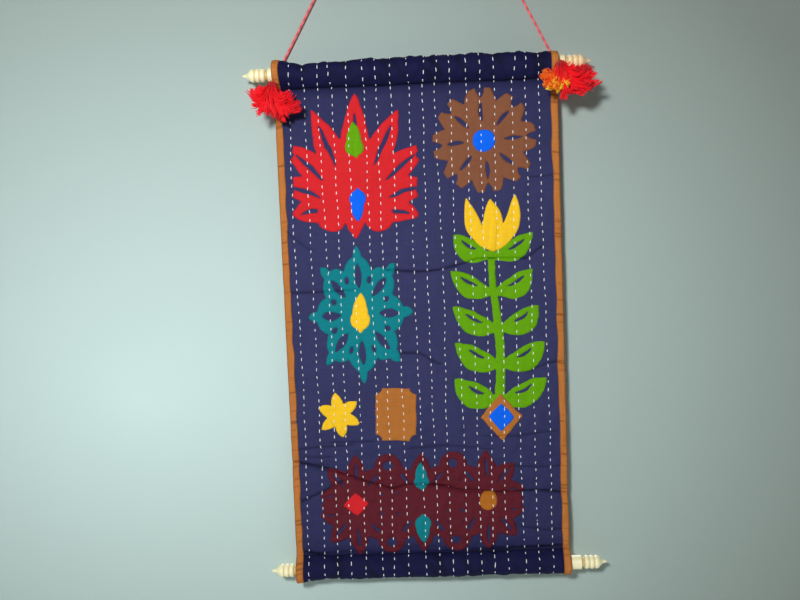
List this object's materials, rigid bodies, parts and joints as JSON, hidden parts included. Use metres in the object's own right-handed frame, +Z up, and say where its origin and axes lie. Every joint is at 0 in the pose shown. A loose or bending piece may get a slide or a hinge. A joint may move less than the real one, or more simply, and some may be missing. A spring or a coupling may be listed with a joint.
{
  "type": "embroidered wall hanging with rods",
  "caption": "Applique and running-stitched cotton wall hanging with bound sides, on turned wooden rods in casings, hung by a cord with yarn pompoms.",
  "frame": {"origin": "the hang point, where the cord bears on the top of a nail in the wall", "axes": "+Z up, +X to the right seen from the front, -Y out of the wall towards the viewer"},
  "size_m": [0.373, 0.0598, 0.8286],
  "materials": {
    "cloth": "plain-weave navy cotton with coloured applique and white running stitch",
    "binding": "plain tan cotton strip",
    "rod": "smooth turned pale wood",
    "cord": "twisted red cord",
    "yarn": "fluffy cut yarn"
  },
  "bodies": {
    "root": {"cloth": "cloth", "binding_left": "binding", "binding_right": "binding", "rod_top": "rod", "rod_bottom": "rod", "hanger_cord": "cord", "pompom_left": "yarn", "pompom_right": "yarn"}
  },
  "joints": []
}
